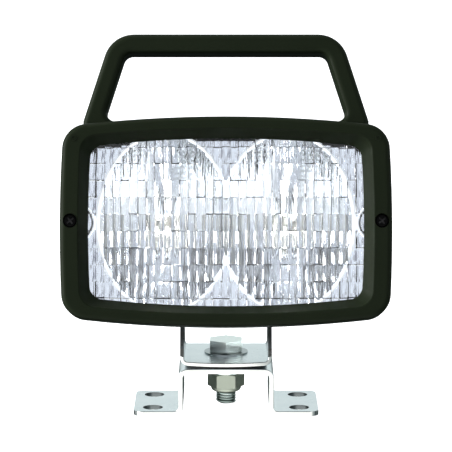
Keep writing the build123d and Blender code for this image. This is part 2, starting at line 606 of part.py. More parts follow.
# ---- front frame -----------------------------------------------------------
with BuildPart() as front_frame:
    with BuildSketch(facing(0)):
        add(barrel(FRAME_WIDTH, FRAME_HEIGHT, FRAME_CORNER_RADIUS))
    extrude(amount=-FRAME_DEPTH)
    front_edges = front_frame.faces().sort_by(head_axis(0, 0))[0].edges()
    fillet(front_edges, FRAME_EDGE_RADIUS)
    with BuildSketch(facing(0)):
        add(barrel(MOUTH_WIDTH, MOUTH_HEIGHT, MOUTH_CORNER_RADIUS, WINDOW_BULGE_SHARE))
    with BuildSketch(facing(WINDOW_DEPTH)):
        add(barrel(WINDOW_WIDTH, WINDOW_HEIGHT, WINDOW_CORNER_RADIUS, WINDOW_BULGE_SHARE))
    loft(mode=Mode.SUBTRACT)
    mouth_edges = front_frame.faces().sort_by(head_axis(0, 0))[0].inner_wires()[0].edges()
    fillet(mouth_edges, MOUTH_EDGE_RADIUS)
    with BuildSketch(facing(WINDOW_DEPTH)):
        pocket_width = LENS_WIDTH + 2 * LENS_EDGE_CLEARANCE
        pocket_height = LENS_HEIGHT + 2 * LENS_EDGE_CLEARANCE
        add(barrel(pocket_width, pocket_height, LENS_CORNER_RADIUS, WINDOW_BULGE_SHARE))
    extrude(amount=-(FRAME_DEPTH - WINDOW_DEPTH), mode=Mode.SUBTRACT)
    with BuildSketch(facing(0)):
        with Locations((-FRAME_SCREW_X, 0), (FRAME_SCREW_X, 0)):
            Circle(SCREW_THREAD / 2 + BOLT_HOLE_CLEARANCE)
    extrude(amount=-FRAME_DEPTH, mode=Mode.SUBTRACT)
    with BuildSketch(facing(0)):
        with Locations((-FRAME_SCREW_X, 0), (FRAME_SCREW_X, 0)):
            Circle(SCREW_RECESS_DIAMETER / 2)
    extrude(amount=-(SCREW_HEAD_HEIGHT + SCREW_HEAD_SINK), mode=Mode.SUBTRACT)
    with BuildSketch(facing(0)):
        with Locations((-MARK_X, MARK_Z), (MARK_X, MARK_Z)):
            Circle(MARK_DIAMETER / 2)
            Circle(MARK_DIAMETER / 2 - MARK_LINE, mode=Mode.SUBTRACT)
    extrude(amount=MARK_HEIGHT)
front_frame.part.label = "front_frame"
export_step(front_frame.part, "parts/front_frame.step")

# ---- frame screws: recessed cross heads ------------------------------------
screw_seat = SCREW_HEAD_HEIGHT + SCREW_HEAD_SINK
with BuildPart() as frame_screws:
    for side in (-1, 1):
        seat = facing(screw_seat, side * FRAME_SCREW_X)
        with BuildSketch(seat):
            Circle(SCREW_HEAD_DIAMETER / 2)
        extrude(amount=SCREW_HEAD_HEIGHT)
        with BuildSketch(seat):
            Circle(SCREW_THREAD / 2)
        extrude(amount=-SCREW_LENGTH)
    crowns = frame_screws.faces().group_by(head_axis(0, 0))[0]
    fillet(crowns.edges(), SCREW_CROWN_RADIUS)
    for side in (-1, 1):
        with BuildSketch(facing(SCREW_HEAD_SINK, side * FRAME_SCREW_X)):
            Rectangle(SCREW_CROSS_LENGTH, SCREW_CROSS_WIDTH, rotation=SCREW_CROSS_ANGLE)
            Rectangle(SCREW_CROSS_LENGTH, SCREW_CROSS_WIDTH, rotation=SCREW_CROSS_ANGLE + 90)
        extrude(amount=-SCREW_CROSS_DEPTH, mode=Mode.SUBTRACT)
frame_screws.part.label = "frame_screws"
export_step(frame_screws.part, "parts/frame_screws.step")

# ---- lens and its gasket ---------------------------------------------------
with BuildPart() as lens_glass:
    with BuildSketch(facing(WINDOW_DEPTH)):
        add(barrel(LENS_WIDTH, LENS_HEIGHT, LENS_CORNER_RADIUS, WINDOW_BULGE_SHARE))
    extrude(amount=-LENS_THICKNESS)
lens_glass.part.label = "lens_glass"
export_step(lens_glass.part, "parts/lens_glass.step")

with BuildPart() as lens_gasket:
    with BuildSketch(facing(LENS_BACK)):
        add(barrel(LENS_WIDTH, LENS_HEIGHT, LENS_CORNER_RADIUS, WINDOW_BULGE_SHARE))
        gasket_inner_width = LENS_WIDTH - 2 * GASKET_WIDTH
        gasket_inner_height = LENS_HEIGHT - 2 * GASKET_WIDTH
        gasket_inner = (gasket_inner_width, gasket_inner_height, WINDOW_CORNER_RADIUS)
        add(barrel(*gasket_inner, WINDOW_BULGE_SHARE), mode=Mode.SUBTRACT)
    extrude(amount=-GASKET_THICKNESS)
lens_gasket.part.label = "lens_gasket"
export_step(lens_gasket.part, "parts/lens_gasket.step")

# ---- reflector: one metallised shell with two deep elliptical bowls --------
def bowl(x, thickness):
    """Solid of one bowl, a paraboloid stretched upwards, cut flat above and below."""
    with BuildPart() as paraboloid:
        for share in BOWL_STEPS:
            depth = BOWL_END - BOWL_LENGTH * share**2 + thickness
            with BuildSketch(facing(depth, x)):
                Ellipse(BOWL_HALF_WIDTH * share + thickness, BOWL_HALF_HEIGHT * share + thickness)
        loft()
        split(bisect_by=level(BOWL_CUT_HEIGHT + thickness), keep=Keep.BOTTOM)
        split(bisect_by=level(-BOWL_CUT_HEIGHT - thickness), keep=Keep.TOP)
    return paraboloid.part


with BuildPart() as reflector:
    with BuildSketch(facing(REFLECTOR_FRONT)):
        add(barrel(LENS_WIDTH, LENS_HEIGHT, LENS_CORNER_RADIUS, WINDOW_BULGE_SHARE))
    extrude(amount=-REFLECTOR_SHEET)
    with BuildSketch(facing(REFLECTOR_FRONT)):
        with Locations((-FRAME_SCREW_X, 0), (FRAME_SCREW_X, 0)):
            Circle(SCREW_PAD_RADIUS)
        pad_width = LENS_WIDTH - 2 * GASKET_WIDTH
        pad_height = LENS_HEIGHT - 2 * GASKET_WIDTH
        add(barrel(pad_width, pad_height, WINDOW_CORNER_RADIUS, WINDOW_BULGE_SHARE), mode=Mode.INTERSECT)
    extrude(amount=SCREW_PAD_HEIGHT)
    for side in (-1, 1):
        add(bowl(side * BOWL_CENTRE_X, REFLECTOR_SHEET))
        with BuildSketch(facing(BULB_SEAT - BULB_SEAT_PAD, side * BOWL_CENTRE_X)):
            Circle(BULB_FLANGE_RADIUS + BULB_SEAT_MARGIN)
        extrude(amount=-BULB_SEAT_PAD)
    for side in (-1, 1):
        add(bowl(side * BOWL_CENTRE_X, 0), mode=Mode.SUBTRACT)
        with BuildSketch(facing(0, side * BOWL_CENTRE_X)):
            Circle(BULB_NECK_RADIUS)
        extrude(amount=-HOUSING_DEPTH, mode=Mode.SUBTRACT)
reflector.part.label = "reflector"
export_step(reflector.part, "parts/reflector.step")

# ---- bulbs, clips and leads, one of each side ------------------------------
capsule_tip = BULB_SEAT - BULB_CUP_LENGTH - CAPSULE_LENGTH
cup_front = BULB_SEAT - BULB_CUP_LENGTH
for side, side_name in ((-1, "left"), (1, "right")):
    bulb_x = side * BOWL_CENTRE_X
    with BuildPart() as bulb_glass:
        with BuildSketch(sideways(bulb_x)):
            with BuildLine():
                Line((cup_front, 0), (cup_front, CAPSULE_RADIUS))
                Line((cup_front, CAPSULE_RADIUS), (capsule_tip + CAPSULE_RADIUS, CAPSULE_RADIUS))
                RadiusArc((capsule_tip + CAPSULE_RADIUS, CAPSULE_RADIUS), (capsule_tip, 0), -CAPSULE_RADIUS)
                Line((capsule_tip, 0), (cup_front, 0))
            make_face()
        revolve(axis=head_axis(bulb_x, 0))
    bulb_glass.part.label = f"bulb_glass_{side_name}"
    export_step(bulb_glass.part, f"parts/bulb_glass_{side_name}.step")

    with BuildPart() as bulb_base:
        with BuildSketch(facing(cup_front, bulb_x)):
            Circle(BULB_CUP_RADIUS)
        extrude(amount=-BULB_CUP_LENGTH)
        with BuildSketch(facing(BULB_SEAT, bulb_x)):
            Circle(BULB_FLANGE_RADIUS)
        extrude(amount=-BULB_FLANGE_THICKNESS)
        with BuildSketch(facing(BULB_SEAT + BULB_FLANGE_THICKNESS, bulb_x)):
            Circle(BULB_REAR_RADIUS)
        extrude(amount=-BULB_REAR_LENGTH)
        with BuildSketch(facing(BULB_BACK, bulb_x)):
            Rectangle(TERMINAL_SHEET, TERMINAL_WIDTH)
        extrude(amount=-TERMINAL_LENGTH)
    bulb_base.part.label = f"bulb_base_{side_name}"
    export_step(bulb_base.part, f"parts/bulb_base_{side_name}.step")

    with BuildPart() as bulb_clip:
        clip_plane = facing(BULB_SEAT + BULB_FLANGE_THICKNESS + CLIP_WIRE / 2, bulb_x)
        with BuildLine(clip_plane) as clip_path:
            FilletPolyline(
                (-CLIP_HALF_LENGTH, CLIP_HALF_WIDTH),
                (CLIP_HALF_LENGTH, CLIP_HALF_WIDTH),
                (CLIP_HALF_LENGTH, -CLIP_HALF_WIDTH),
                (-CLIP_HALF_LENGTH, -CLIP_HALF_WIDTH),
                radius=CLIP_BEND_RADIUS,
            )
        with BuildSketch(Plane(origin=clip_path.line @ 0, z_dir=clip_path.line % 0)):
            Circle(CLIP_WIRE / 2)
        sweep(path=clip_path.line)
    bulb_clip.part.label = f"bulb_clip_{side_name}"
    export_step(bulb_clip.part, f"parts/bulb_clip_{side_name}.step")

# ---- rear housing with the handle and the pivot lug ------------------------
def housing_shell(inset, front, back):
    """Tapered body in three stages, drawn in from its outside by an inset."""
    front_width = FRAME_WIDTH - 2 * HOUSING_FLANGE_INSET - HOUSING_WALL
    front_height = FRAME_HEIGHT - 2 * HOUSING_FLANGE_INSET - HOUSING_WALL
    stages = (
        (front, front_width, front_height, 1.0),
        (HOUSING_SHOULDER_DEPTH, HOUSING_SHOULDER_WIDTH, HOUSING_SHOULDER_HEIGHT, HOUSING_SHOULDER_BULGE),
        (HOUSING_WAIST_DEPTH, HOUSING_WAIST_WIDTH, HOUSING_WAIST_HEIGHT, HOUSING_WAIST_BULGE),
        (back, HOUSING_BACK_WIDTH, HOUSING_BACK_HEIGHT, HOUSING_BACK_BULGE),
    )
    with BuildPart() as shell:
        for first, second in zip(stages, stages[1:]):
            for depth, width, height, share in (first, second):
                with BuildSketch(facing(depth)):
                    corner = FRAME_CORNER_RADIUS - inset
                    add(barrel(width - 2 * inset, height - 2 * inset, corner, share))
            loft(ruled=True)
    return shell.part


with BuildPart() as handle:
    with BuildSketch(facing(HANDLE_FRONT)) as handle_outline:
        root_bottom = HANDLE_ROOT_HEIGHT - HANDLE_ROOT_SINK
        with BuildLine():
            Polyline(
                (-handle_half_width(HANDLE_ROOT_HEIGHT), root_bottom),
                (-handle_half_width(HANDLE_ROOT_HEIGHT), HANDLE_ROOT_HEIGHT),
                (-handle_half_width(HANDLE_TOP), HANDLE_TOP),
                (handle_half_width(HANDLE_TOP), HANDLE_TOP),
                (handle_half_width(HANDLE_ROOT_HEIGHT), HANDLE_ROOT_HEIGHT),
                (handle_half_width(HANDLE_ROOT_HEIGHT), root_bottom),
                close=True,
            )
        make_face()
        fillet(handle_outline.vertices().group_by(Axis.Y)[-1], HANDLE_OUTER_RADIUS)
    extrude(amount=-HANDLE_DEPTH)
    with BuildSketch(facing(HANDLE_FRONT)) as hand_gap:
        gap_top = HANDLE_TOP - HANDLE_BAND
        slant_band = HANDLE_BAND / cos(radians(HANDLE_LEAN))
        with BuildLine():
            Polyline(
                (-handle_half_width(HANDLE_ROOT_HEIGHT) + slant_band, HANDLE_ROOT_HEIGHT),
                (-handle_half_width(gap_top) + slant_band, gap_top),
                (handle_half_width(gap_top) - slant_band, gap_top),
                (handle_half_width(HANDLE_ROOT_HEIGHT) - slant_band, HANDLE_ROOT_HEIGHT),
                close=True,
            )
        make_face()
        fillet(hand_gap.vertices().group_by(Axis.Y)[-1], HANDLE_INNER_RADIUS)
        fillet(hand_gap.vertices().group_by(Axis.Y)[0], HANDLE_ROOT_RADIUS)
    extrude(amount=-HANDLE_DEPTH, mode=Mode.SUBTRACT)
    handle_faces = handle.faces().sort_by(head_axis(0, 0))
    fillet(handle_faces[0].edges() + handle_faces[-1].edges(), HANDLE_EDGE_RADIUS)

with BuildPart() as rear_housing:
    add(housing_shell(0, HOUSING_FRONT, HOUSING_DEPTH))
    back_edges = rear_housing.faces().sort_by(head_axis(0, 0))[-1].edges()
    fillet(back_edges, HOUSING_BACK_RADIUS)
    with BuildSketch(facing(HOUSING_FRONT)):
        flange_width = FRAME_WIDTH - 2 * HOUSING_FLANGE_INSET
        flange_height = FRAME_HEIGHT - 2 * HOUSING_FLANGE_INSET
        add(barrel(flange_width, flange_height, FRAME_CORNER_RADIUS - HOUSING_FLANGE_INSET))
    extrude(amount=-HOUSING_FLANGE)
    add(handle.part)
    with BuildSketch(sideways(-LUG_HALF_LENGTH)):
        with BuildLine():
            lug_root = LUG_ROOT_OVERLAP - HOUSING_WAIST_HEIGHT / 2
            Polyline(
                (PIVOT_BEHIND_FACE - LUG_RADIUS, -PIVOT_BELOW_AXIS),
                (PIVOT_BEHIND_FACE - LUG_RADIUS, lug_root),
                (PIVOT_BEHIND_FACE + LUG_RADIUS, lug_root),
                (PIVOT_BEHIND_FACE + LUG_RADIUS, -PIVOT_BELOW_AXIS),
            )
            ThreePointArc(
                (PIVOT_BEHIND_FACE + LUG_RADIUS, -PIVOT_BELOW_AXIS),
                (PIVOT_BEHIND_FACE, -PIVOT_BELOW_AXIS - LUG_RADIUS),
                (PIVOT_BEHIND_FACE - LUG_RADIUS, -PIVOT_BELOW_AXIS),
            )
        make_face()
    extrude(amount=2 * LUG_HALF_LENGTH)
    add(housing_shell(HOUSING_WALL, HOUSING_FRONT, SWITCH_PANEL), mode=Mode.SUBTRACT)
    screw_reach = screw_seat + SCREW_LENGTH - HOUSING_FRONT
    for side in (-1, 1):
        with BuildSketch(facing(HOUSING_FRONT, side * FRAME_SCREW_X)):
            Circle(SCREW_BOSS_RADIUS)
        extrude(amount=-(screw_reach + SCREW_BOSS_END))
        with BuildSketch(facing(HOUSING_FRONT, side * FRAME_SCREW_X)):
            Circle(SCREW_THREAD / 2 + SCREW_FIT)
        extrude(amount=-(screw_reach + SCREW_BOSS_END / 2), mode=Mode.SUBTRACT)
    with BuildSketch(Plane.YZ.offset(-LUG_HALF_LENGTH)):
        with Locations((0, PIVOT_HEIGHT)):
            Circle(SLEEVE_OUTER_DIAMETER / 2)
    extrude(amount=2 * LUG_HALF_LENGTH, mode=Mode.SUBTRACT)
    with BuildSketch(facing(SWITCH_PANEL - CUT_THROUGH)):
        with Locations((SWITCH_X, SWITCH_Z)):
            Circle(SWITCH_BUSH_RADIUS)
        with Locations((GROMMET_X, GROMMET_Z)):
            Circle(GROMMET_NECK_DIAMETER / 2)
    extrude(amount=-(HOUSING_WALL + 2 * CUT_THROUGH), mode=Mode.SUBTRACT)
rear_housing.part.label = "rear_housing"
export_step(rear_housing.part, "parts/rear_housing.step")

# ---- toggle switch: body inside, nut and lever outside the rear wall -------
with BuildPart() as switch_body:
    with BuildSketch(facing(SWITCH_FRONT, SWITCH_X, SWITCH_Z)):
        RectangleRounded(SWITCH_BODY_WIDTH, SWITCH_BODY_HEIGHT, SWITCH_BODY_CORNER_RADIUS)
    extrude(amount=-(SWITCH_PANEL - SWITCH_FRONT))
    with BuildSketch(facing(SWITCH_PANEL, SWITCH_X, SWITCH_Z)):
        Circle(SWITCH_BUSH_RADIUS - SCREW_FIT)
    extrude(amount=-(SWITCH_BUSH_END - SWITCH_PANEL))
    socket_radius = SWITCH_BALL_RADIUS + SWITCH_SOCKET_CLEARANCE
    with BuildSketch(facing(SWITCH_PIVOT_DEPTH, SWITCH_X, SWITCH_Z)):
        Circle(socket_radius)
    extrude(amount=-SWITCH_BUSH_LENGTH, mode=Mode.SUBTRACT)
    with Locations(facing(SWITCH_PIVOT_DEPTH, SWITCH_X, SWITCH_Z)):
        Sphere(socket_radius, mode=Mode.SUBTRACT)
switch_body.part.label = "switch_body"
export_step(switch_body.part, "parts/switch_body.step")

nut_seat = head_point(SWITCH_X, HOUSING_DEPTH, SWITCH_Z)
switch_nut_plane = Plane(origin=nut_seat, x_dir=(1, 0, 0), z_dir=HEAD_BACK)
with BuildPart() as switch_nut:
    add(chamfered_hexagon(SWITCH_NUT_FLATS, SWITCH_NUT_HEIGHT, switch_nut_plane, SWITCH_NUT_TURN))
    with BuildSketch(switch_nut_plane):
        Circle(SWITCH_BUSH_RADIUS)
    extrude(amount=SWITCH_NUT_HEIGHT, mode=Mode.SUBTRACT)
switch_nut.part.label = "switch_nut"
export_step(switch_nut.part, "parts/switch_nut.step")

lever_slope = TILT + radians(SWITCH_THROW)
lever_direction = Vector(0, cos(lever_slope), -sin(lever_slope))
lever_pivot = head_point(SWITCH_X, SWITCH_PIVOT_DEPTH, SWITCH_Z)
tip_centre = SWITCH_LEVER_LENGTH - SWITCH_LEVER_TIP_RADIUS
ball_shoulder = sqrt(SWITCH_BALL_RADIUS**2 - SWITCH_LEVER_ROOT_RADIUS**2)
with BuildPart() as switch_lever:
    with BuildSketch(Plane(origin=lever_pivot, x_dir=lever_direction, z_dir=(1, 0, 0))):
        with BuildLine():
            ThreePointArc(
                (-SWITCH_BALL_RADIUS, 0),
                (0, SWITCH_BALL_RADIUS),
                (ball_shoulder, SWITCH_LEVER_ROOT_RADIUS),
            )
            Line((ball_shoulder, SWITCH_LEVER_ROOT_RADIUS), (tip_centre, SWITCH_LEVER_TIP_RADIUS))
            RadiusArc(
                (tip_centre, SWITCH_LEVER_TIP_RADIUS),
                (SWITCH_LEVER_LENGTH, 0),
                SWITCH_LEVER_TIP_RADIUS,
            )
            Line((SWITCH_LEVER_LENGTH, 0), (-SWITCH_BALL_RADIUS, 0))
        make_face()
    revolve(axis=Axis(lever_pivot, lever_direction))
switch_lever.part.label = "switch_lever"
export_step(switch_lever.part, "parts/switch_lever.step")

# ---- cable grommet: the open inlet for a supply cable ----------------------
grommet_lip_radius = (GROMMET_NECK_DIAMETER + GROMMET_FLANGE_DIAMETER) / 4
grommet_back = HOUSING_DEPTH + GROMMET_LIP
grommet_centre = head_point(GROMMET_X, 0, GROMMET_Z)
grommet_plane = Plane(origin=grommet_centre, x_dir=HEAD_BACK, z_dir=(1, 0, 0))
with BuildPart() as cable_grommet:
    with BuildSketch(grommet_plane):
        with BuildLine():
            Polyline(
                (SWITCH_PANEL - GROMMET_LIP, GROMMET_BORE / 2),
                (SWITCH_PANEL - GROMMET_LIP, GROMMET_NECK_DIAMETER / 2),
                (SWITCH_PANEL, grommet_lip_radius),
                (SWITCH_PANEL, GROMMET_NECK_DIAMETER / 2),
                (HOUSING_DEPTH, GROMMET_NECK_DIAMETER / 2),
                (HOUSING_DEPTH, GROMMET_FLANGE_DIAMETER / 2),
                (grommet_back, GROMMET_FLANGE_DIAMETER / 2 - GROMMET_EDGE),
                (grommet_back, GROMMET_NECK_DIAMETER / 2),
                (grommet_back + GROMMET_SPOUT, GROMMET_SPOUT_END_DIAMETER / 2),
                (grommet_back + GROMMET_SPOUT, GROMMET_BORE / 2),
                close=True,
            )
        make_face()
    revolve(axis=head_axis(GROMMET_X, GROMMET_Z))
cable_grommet.part.label = "cable_grommet"
export_step(cable_grommet.part, "parts/cable_grommet.step")

# ---- push-on connectors and leads from the bulbs to the switch -------------
lead_depth = BULB_BACK + CONNECTOR_DEPTH / 2
for side, side_name in ((-1, "left"), (1, "right")):
    bulb_x = side * BOWL_CENTRE_X
    with BuildPart() as connector:
        with BuildSketch(facing(BULB_BACK, bulb_x)):
            RectangleRounded(CONNECTOR_THICKNESS, CONNECTOR_HEIGHT, CONNECTOR_CORNER_RADIUS)
        extrude(amount=-CONNECTOR_DEPTH)
        with BuildSketch(facing(BULB_BACK, bulb_x)):
            Rectangle(TERMINAL_SHEET, TERMINAL_WIDTH)
        extrude(amount=-TERMINAL_LENGTH, mode=Mode.SUBTRACT)
    connector.part.label = f"bulb_connector_{side_name}"
    export_step(connector.part, f"parts/bulb_connector_{side_name}.step")

    lead_from = bulb_x - side * CONNECTOR_THICKNESS / 2
    lead_to = SWITCH_X + side * SWITCH_BODY_WIDTH / 2
    lead_middle = (lead_from + lead_to) / 2
    lead_run = (lead_to - lead_from) / 4
    lead_sag = abs(lead_run) * LEAD_SAG_SHARE
    bend_radius = LEAD_BEND_SHARE * abs(lead_run) / LEAD_SAG_SHARE
    with BuildPart() as bulb_lead:
        with BuildLine() as lead_path:
            FilletPolyline(
                head_point(lead_from, lead_depth, 0),
                head_point(lead_from + lead_run, lead_depth, 0),
                head_point(lead_middle, lead_depth - lead_sag, lead_sag / 2),
                head_point(lead_to - lead_run, lead_depth, lead_sag),
                head_point(lead_to, lead_depth, lead_sag),
                radius=bend_radius,
            )
        with BuildSketch(Plane(origin=lead_path.line @ 0, z_dir=lead_path.line % 0)):
            Circle(LEAD_DIAMETER / 2)
        sweep(path=lead_path.line)
    bulb_lead.part.label = f"bulb_lead_{side_name}"
    export_step(bulb_lead.part, f"parts/bulb_lead_{side_name}.step")
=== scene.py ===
"""Looks of the twin-bulb work lamp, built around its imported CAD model.

Metres, +Z up, and the lamp shines towards -Y. Shapes on the tilted head are made
in the head's own axes (x right, y back from the face, z up from its centre), and
a matrix then puts them in their place.
"""
import json
from math import acos, asin, cos, pi, radians, sin, sqrt

import bmesh
import bpy
from mathutils import Matrix, Vector


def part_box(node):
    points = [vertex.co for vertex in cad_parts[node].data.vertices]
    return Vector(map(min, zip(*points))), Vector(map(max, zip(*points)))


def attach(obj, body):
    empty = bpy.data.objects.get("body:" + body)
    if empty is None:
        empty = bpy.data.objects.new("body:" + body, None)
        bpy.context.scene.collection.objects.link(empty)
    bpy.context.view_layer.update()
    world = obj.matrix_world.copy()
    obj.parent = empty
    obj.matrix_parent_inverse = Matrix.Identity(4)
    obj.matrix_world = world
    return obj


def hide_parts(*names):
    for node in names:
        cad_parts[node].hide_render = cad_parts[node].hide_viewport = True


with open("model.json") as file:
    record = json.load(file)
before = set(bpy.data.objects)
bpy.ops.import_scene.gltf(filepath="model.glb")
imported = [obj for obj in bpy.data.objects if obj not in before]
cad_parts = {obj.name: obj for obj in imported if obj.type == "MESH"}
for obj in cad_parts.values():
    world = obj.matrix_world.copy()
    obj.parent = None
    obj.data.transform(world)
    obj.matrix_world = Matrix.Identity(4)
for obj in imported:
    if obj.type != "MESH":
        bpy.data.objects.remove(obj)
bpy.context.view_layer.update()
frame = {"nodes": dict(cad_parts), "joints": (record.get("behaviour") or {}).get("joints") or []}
MM = 0.001

# ---- places, from the frame --------------------------------------------------
JOINTS = {joint["name"]: joint for joint in frame["joints"]}
PIVOT = Vector(JOINTS["tilt"]["pos_m"])
HEAD_TILT = radians(15)
PIVOT_BEHIND_FACE = 50.2 * MM
PIVOT_BELOW_AXIS = 40.4 * MM
HEAD_TURN = Matrix.Rotation(-HEAD_TILT, 4, "X")
FACE_FROM_PIVOT = Matrix.Translation((0, -PIVOT_BEHIND_FACE, PIVOT_BELOW_AXIS))
HEAD = Matrix.Translation(PIVOT) @ HEAD_TURN @ FACE_FROM_PIVOT
HEAD_BACK = (HEAD_TURN @ Vector((0, 1, 0))).normalized()
HEAD_UP = (HEAD_TURN @ Vector((0, 0, 1))).normalized()
FACE_CENTRE = HEAD @ Vector((0, 0, 0))

# ---- sizes of the pieces made here -------------------------------------------
# The outline's bulge, here and at the lens, which lies deeper in the frame.
FACE_TOP_BULGE = 5.2 * MM
FACE_SIDE_BULGE = 1.6 * MM
LENS_BULGE_SHARE = 0.8
LENS_WIDTH = 151.0 * MM
LENS_HEIGHT = 96.0 * MM
LENS_FRONT = 8.0 * MM
LENS_THICKNESS = 4.0 * MM
# How sharply the slab's rim and its corners are drawn in to the outline.
RIM_POWER = 8.0
CORNER_POWER = 14.0
CORNER_PULL = 2.7 * MM

# Upright flutes, each with fine ribs and a depth of its own.
FLUTES = 35
FLUTE_PITCH = LENS_WIDTH / FLUTES
FLUTE_RELIEF = 0.62 * MM
FLUTE_LEAST = 0.6
FLUTE_VARY = 0.8
FLUTE_STEPS = 14
RIB_RELIEF = 0.045 * MM
RIBS_PER_FLUTE = 2.0

# Rows of flutes. Vertices crowd towards each row's ends, where broken grooves part the rows.
ROWS = 11
ROW_PITCH = LENS_HEIGHT / ROWS
ROW_RELIEF = 0.3 * MM
ROW_STEPS = 8
ROW_CROWDING = 0.25
OUTER_ROW_LOSS = 0.8
GROOVE_START = 0.9
GROOVE_RELIEF = 0.3 * MM
GROOVE_VARY = 1.8
GROOVE_LOSS = 0.6
GROOVE_SEED = 7.0
LENS_SOFT_ANGLE = radians(11)

# The two bowls' rims, and the bead along them, which glows as a painted highlight.
BOWL_CENTRE_X = 31.6 * MM
BOWL_HALF_WIDTH = 34.2 * MM
BOWL_HALF_HEIGHT = 46.5 * MM
BOWL_CUT_HEIGHT = 45.0 * MM
REFLECTOR_FRONT = 14.0 * MM
BOWL_BEAD = 0.95 * MM
BOWL_STEPS = 96
BEAD_AHEAD = 0.9 * MM
BEAD_SOFT_ANGLE = radians(60)

# Arcs beside the frame screws: a glowing bead as painted highlight and a black bead as painted shadow.
SCREW_X = 79.6 * MM
PAD_RIM_RADIUS = 11.6 * MM
PAD_RIM_BEAD = 0.4 * MM
PAD_SHADOW_RADIUS = 10.7 * MM
PAD_SHADOW_BEAD = 0.35 * MM
PAD_AHEAD = 1.1 * MM
PAD_REACH = 71.6 * MM
PAD_STEPS = 24

# Threads on the bolts' free ends.
SWIVEL_ROOT = 4.3 * MM
SWIVEL_CREST = 5.0 * MM
SWIVEL_PITCH = 1.5 * MM
PIVOT_ROOT = 3.44 * MM
PIVOT_CREST = 4.0 * MM
PIVOT_PITCH = 1.25 * MM
THREAD_LEAD_IN = 0.9 * MM
THREAD_STEPS = 28
WEDGE_SIDES = 4

# Coils in the bulbs, glowing as painted light.
FILAMENT_LENGTH = 5.0 * MM
FILAMENT_RADIUS = 0.8 * MM
FILAMENT_WIRE = 0.22 * MM
FILAMENT_AHEAD = 1.0 * MM
FILAMENT_TURNS = 9.0
COIL_STEPS = 16
WIRE_SIDES = 6
WIRE_SOFT_ANGLE = radians(70)

# Where the zinc sheet's cut edges and its hole walls (painted dark as shade) are, and the screws'
# crosses.
EDGE_BEYOND = 20.5 * MM
EDGE_SQUARENESS = 0.8
HOLE_FROM = 30.0 * MM
HOLE_TO = 47.0 * MM
HOLE_WALL_PAINTED_SHADE = (0.05, 0.06, 0.06)
SCREW_CROSS_REACH = 2.3 * MM
SCREW_CROSS_DEPTH = 1.2 * MM
SCREW_BLACK = (0.0012, 0.0012, 0.0012)
SCREW_BRIGHT = (0.13, 0.128, 0.125)
FINE_GRAIN = 0.02 * MM


# ---- shader helpers ----------------------------------------------------------
class Wire:
    """A node's output that takes part in Python arithmetic as Math nodes."""

    def __init__(self, finish, socket):
        self.finish = finish
        self.socket = socket

    def maths(self, operation, *values):
        return self.finish.node("ShaderNodeMath", {"operation": operation}, *values)

    def __add__(self, other):
        return self.maths("ADD", self, other)

    def __sub__(self, other):
        return self.maths("SUBTRACT", self, other)

    def __mul__(self, other):
        return self.maths("MULTIPLY", self, other)

    def __truediv__(self, other):
        return self.maths("DIVIDE", self, other)

    def __pow__(self, other):
        return self.maths("POWER", self, other)

    def __gt__(self, other):
        return self.maths("GREATER_THAN", self, other)

    def __lt__(self, other):
        return self.maths("LESS_THAN", self, other)

    def __rsub__(self, other):
        return self.maths("SUBTRACT", other, self)

    def __abs__(self):
        return self.maths("ABSOLUTE", self)

    __radd__ = __add__
    __rmul__ = __mul__

    def cosine(self):
        return self.maths("COSINE", self)

    def clamped(self):
        return self.maths("MINIMUM", self.maths("MAXIMUM", self, 0.0), 1.0)


def sockets_of(values, named):
    """Pairs of a socket's number or name and what goes in it."""
    spaced = [(key.replace("_", " "), value) for key, value in named.items()]
    return list(enumerate(values)) + spaced


class Finish:
    """A node material, or the world, with one way to add and link any node."""

    def __init__(self, owner):
        owner.use_nodes = True
        self.tree = owner.node_tree
        self.tree.nodes.clear()

    def node(self, kind, settings=None, *values, output=0, **named):
        """Adds a node: settings first, then its sockets in order or by name."""
        node = self.tree.nodes.new(kind)
        for key, value in (settings or {}).items():
            setattr(node, key, value)
        for key, value in sockets_of(values, named):
            self.feed(node.inputs[key], value)
        if node.outputs:
            return Wire(self, node.outputs[output])
        return node

    def feed(self, socket, value):
        if isinstance(value, Wire):
            self.tree.links.new(value.socket, socket)
        elif value is not None:
            if socket.type == "RGBA" and len(value) == 3:
                value = (*value, 1.0)
            socket.default_value = value

    def place(self):
        """The point's place on the piece, in the shared frame."""
        return self.node("ShaderNodeTexCoord", None, output=3)

    def facing(self):
        """The surface's direction on the piece, in the shared frame."""
        return self.node("ShaderNodeTexCoord", None, output=1)

    def noise(self, point, scale, detail=2.0, roughness=0.5):
        return self.node(
            "ShaderNodeTexNoise", None, Vector=point, Scale=scale, Detail=detail, Roughness=roughness,
        )

    def stretched(self, point, scale):
        """The point with its axes scaled apart, for streaks."""
        return self.node("ShaderNodeVectorMath", {"operation": "MULTIPLY"}, point, scale)

    def rise(self, value, low, high):
        """Climbs smoothly from 0 to 1 as the value goes from low to high."""
        settings = {"interpolation_type": "SMOOTHSTEP"}
        return self.node("ShaderNodeMapRange", settings, value, low, high, 0.0, 1.0)

    def along(self, point, direction):
        """How far a point lies along a direction."""
        settings = {"operation": "DOT_PRODUCT"}
        return self.node("ShaderNodeVectorMath", settings, point, direction, output=1)

    def mix(self, share, first, second):
        """A colour between two colours."""
        node = self.tree.nodes.new("ShaderNodeMix")
        node.data_type = "RGBA"
        self.feed(node.inputs[0], share)
        self.feed(node.inputs[6], first)
        self.feed(node.inputs[7], second)
        return Wire(self, node.outputs[2])

    def bump(self, height, distance, strength=1.0):
        return self.node("ShaderNodeBump", None, Strength=strength, Distance=distance, Height=height)

    def surface(self, **sockets):
        """Ends a material with one Principled surface."""
        shader = self.node("ShaderNodeBsdfPrincipled", None, **sockets)
        self.node("ShaderNodeOutputMaterial", None, shader)


def finish_of(name):
    """A new material and its finish."""
    material = bpy.data.materials.new(name)
    return material, Finish(material)


